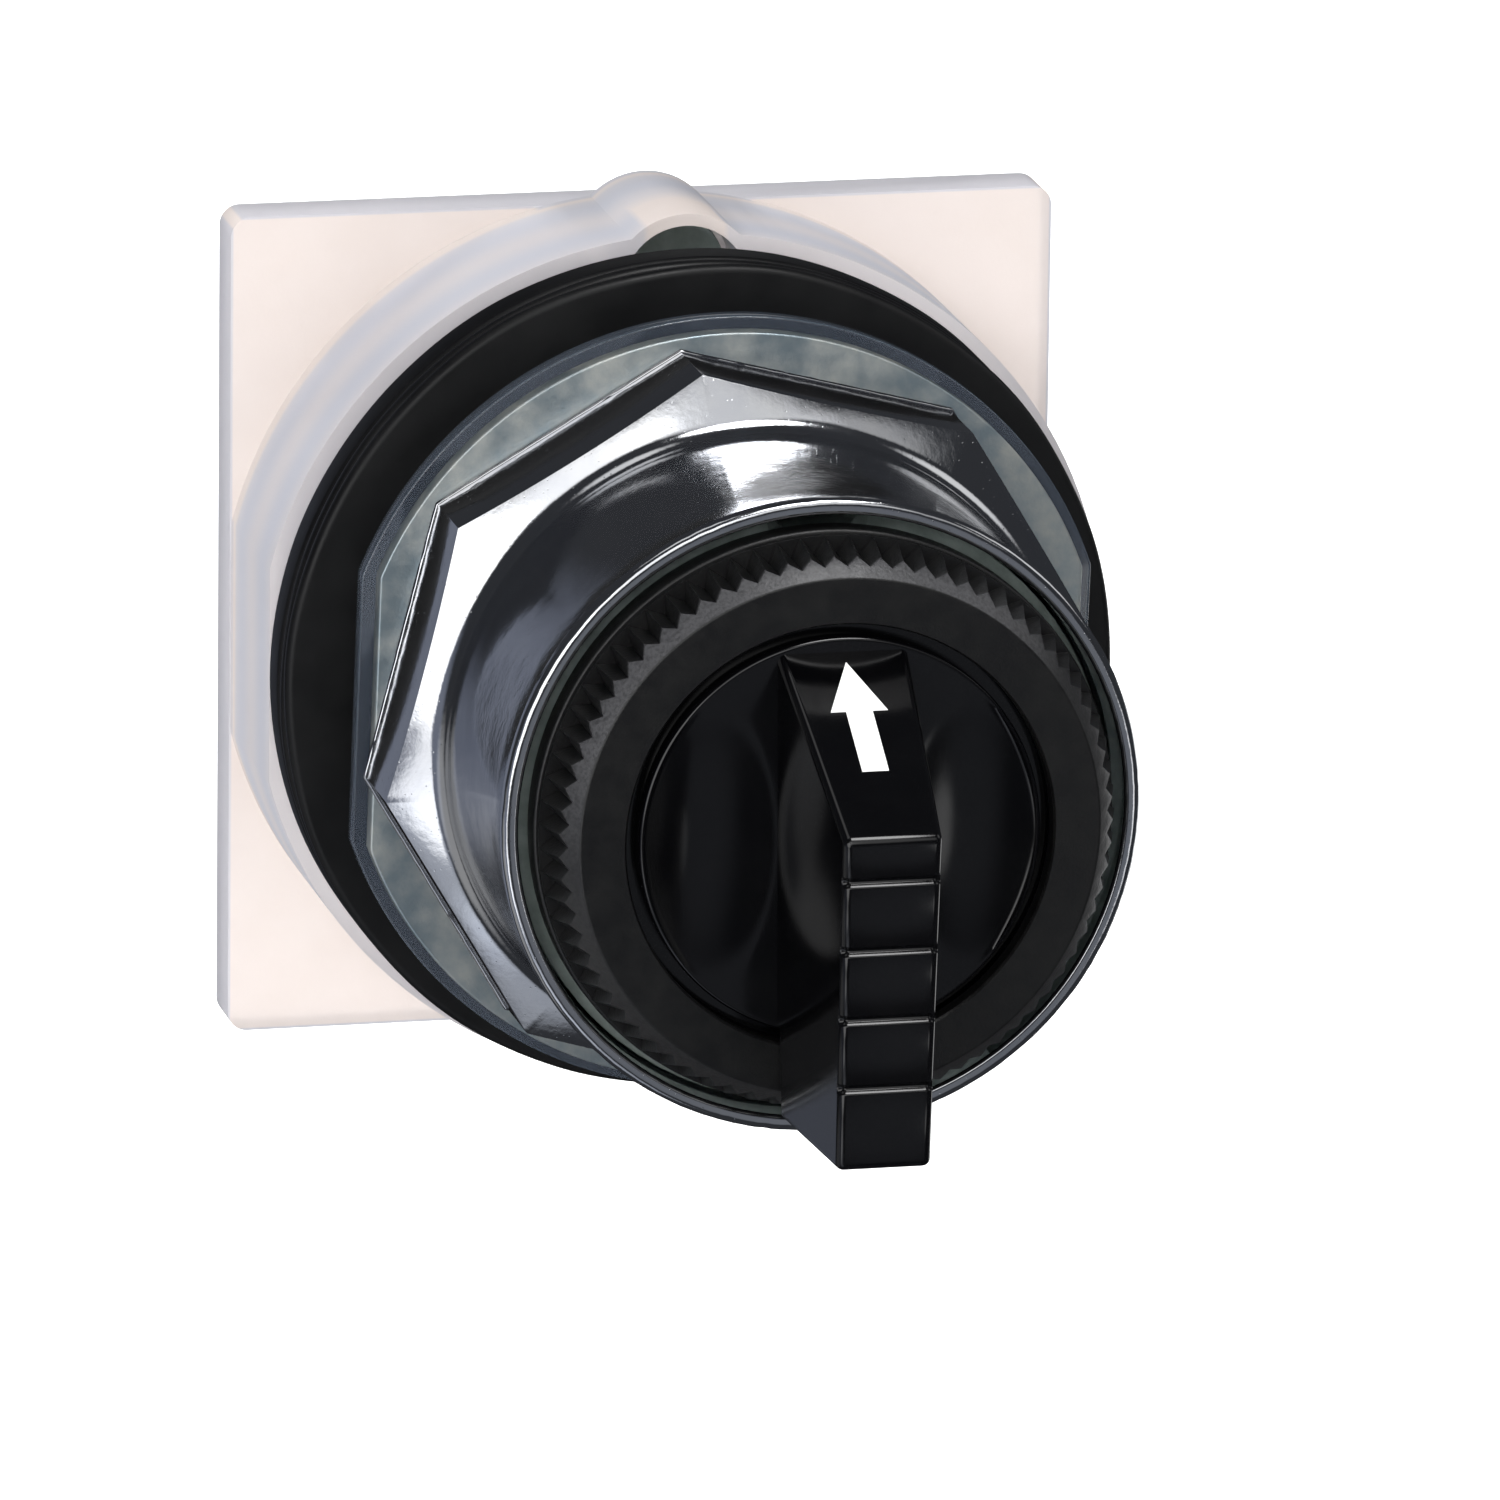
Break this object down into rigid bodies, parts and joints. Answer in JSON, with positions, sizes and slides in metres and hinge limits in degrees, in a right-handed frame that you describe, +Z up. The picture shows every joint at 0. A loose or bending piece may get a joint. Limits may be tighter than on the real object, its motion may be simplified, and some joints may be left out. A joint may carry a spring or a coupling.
{
  "type": "rotary selector operator",
  "caption": "Panel-mount rotary selector operator: lever knob with arrow, serrated retaining ring, octagonal chrome ring nut, seals and a square rear mounting base.",
  "frame": {"origin": "on the switch axis in the plane of the front gasket's face, where the rear of the panel lies", "axes": "-Y towards the user along the switch axis, +Y towards the contact blocks, +Z up with the knob's arrow up at rest, +X to the user's right"},
  "size_m": [0.0422, 0.0585, 0.0452],
  "materials": {
    "translucent_nylon": "translucent natural nylon, satin",
    "die_cast_zinc": "as cast, dull",
    "black_rubber": "matte",
    "clear_plastic": "clear, smooth",
    "zinc_plate": "zinc plated",
    "chrome_plate": "bright chrome",
    "black_moulding": "fine matte grain",
    "gloss_black": "gloss",
    "white_print": "matte",
    "steel": "satin",
    "spring_steel": "bright",
    "bearing_brass": "turned",
    "acetal": "natural acetal"
  },
  "bodies": {
    "housing": {"mounting_base": "translucent_nylon", "base_screws": "steel", "bushing_body": "die_cast_zinc", "sealing_gasket": "black_rubber", "spacer_gasket_rear": "black_rubber", "spacer_gasket_front": "black_rubber", "front_sleeve": "black_moulding", "knob_retaining_ring": "black_moulding", "stem_bearing": "bearing_brass", "stop_pin": "steel", "plunger_guide": "black_moulding", "guide_screws": "steel", "return_spring_left": "spring_steel", "return_spring_right": "spring_steel"},
    "selector": {"selector_knob": "gloss_black", "arrow_inlay": "white_print", "knob_stem": "steel", "knob_screw": "steel", "stem_seal": "black_rubber", "index_wheel": "acetal", "detent_balls": "spring_steel", "detent_springs": "spring_steel", "cam": "acetal", "retaining_clip": "steel"},
    "washer_pair": {"clear_washer": "clear_plastic", "trim_washer": "zinc_plate"},
    "nut": {"ring_nut": "chrome_plate"},
    "left_plunger": {"plunger_left": "acetal"},
    "right_plunger": {"plunger_right": "acetal"}
  },
  "joints": [
    {"name": "selector_turn", "type": "hinge", "parent": "housing", "child": "selector", "pos_m": [0, 0, 0], "axis": [0, -1, 0], "range_deg": [-45, 45]},
    {"name": "left_plunger_slide", "type": "slide", "parent": "housing", "child": "left_plunger", "axis": [0, 1, 0], "range_m": [-0.0016, 0.0016], "deforming": ["return_spring_left"]},
    {"name": "right_plunger_slide", "type": "slide", "parent": "housing", "child": "right_plunger", "axis": [0, 1, 0], "range_m": [-0.0016, 0.0016], "deforming": ["return_spring_right"]},
    {"name": "nut_travel", "type": "slide", "parent": "housing", "child": "washer_pair", "axis": [0, -1, 0], "range_m": [-0.003, 0.003]},
    {"name": "nut_turn", "type": "hinge", "parent": "washer_pair", "child": "nut", "pos_m": [0, -0.0078, 0], "axis": [0, -1, 0], "range_deg": [-720, 720]}
  ],
  "couplings": [
    {"joint": "right_plunger_slide", "follows": "selector_turn", "m_per_rad": 0.0020371},
    {"joint": "left_plunger_slide", "follows": "selector_turn", "m_per_rad": -0.0020371},
    {"joint": "nut_travel", "follows": "nut_turn", "m_per_rad": 0.00023873}
  ]
}
